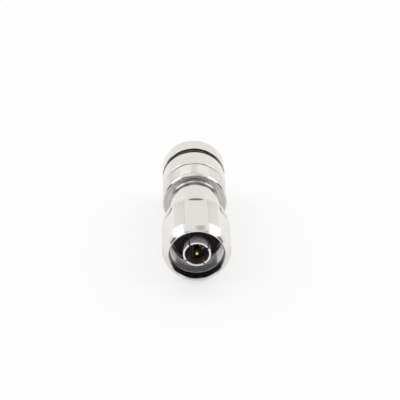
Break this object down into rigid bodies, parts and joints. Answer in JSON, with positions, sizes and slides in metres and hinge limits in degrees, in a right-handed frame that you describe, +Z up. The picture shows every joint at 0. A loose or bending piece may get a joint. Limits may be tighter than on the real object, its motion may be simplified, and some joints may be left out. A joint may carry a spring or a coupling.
{
  "type": "n type coaxial plug connector",
  "caption": "Straight clamp-type coaxial plug: hexagonal coupling nut with knurled corners, slotted outer contact, centre pin, knurled barrel and a screw-in cable clamp nut.",
  "frame": {"origin": "on the plug's axis at its reference plane, the front end of the outer contact", "axes": "-Y points out of the mating end and +Y along the axis towards the cable; the plug lies on its side with +Z up"},
  "size_m": [0.0202, 0.0529, 0.0202],
  "materials": {
    "polished_nickel": "brass, nickel plated and polished",
    "silver_plate": "spring bronze, silver plated",
    "gold_plate": "brass, gold plated",
    "spring_bronze": "phosphor bronze",
    "bare_brass": "turned brass",
    "white_insulation": "white fluoropolymer",
    "black_rubber": "black rubber",
    "red_rubber": "red silicone rubber"
  },
  "bodies": {
    "plug_body": {"main_body": "polished_nickel", "outer_contact": "silver_plate", "centre_contact": "gold_plate", "front_insulator": "white_insulation", "rear_insulator": "white_insulation", "insulator_retainer": "bare_brass", "dielectric_washer": "white_insulation", "interface_gasket": "black_rubber", "coupling_snap_ring": "spring_bronze", "coupling_seal": "black_rubber", "braid_sleeve": "bare_brass", "braid_clamp": "bare_brass", "cable_gasket": "red_rubber", "gasket_washer": "bare_brass"},
    "coupling": {"coupling_nut": "polished_nickel"},
    "slip_washer": {"thrust_washer": "bare_brass"},
    "clamp": {"clamp_nut": "polished_nickel", "clamp_nut_seal": "black_rubber", "cable_seal": "black_rubber", "seal_retainer": "bare_brass"}
  },
  "joints": [
    {"name": "coupling_turn", "type": "hinge", "parent": "plug_body", "child": "coupling", "pos_m": [0, 0.0081, 0], "axis": [0, -1, 0], "continuous": true},
    {"name": "clamp_travel", "type": "slide", "parent": "plug_body", "child": "slip_washer", "axis": [0, -1, 0], "range_m": [-0.00321, 0.00236]},
    {"name": "clamp_turn", "type": "hinge", "parent": "slip_washer", "child": "clamp", "pos_m": [0, 0.0463, 0], "axis": [0, -1, 0], "range_deg": [-1152, 846]}
  ],
  "couplings": [
    {"joint": "clamp_travel", "follows": "clamp_turn", "m_per_rad": 0.00015915}
  ]
}
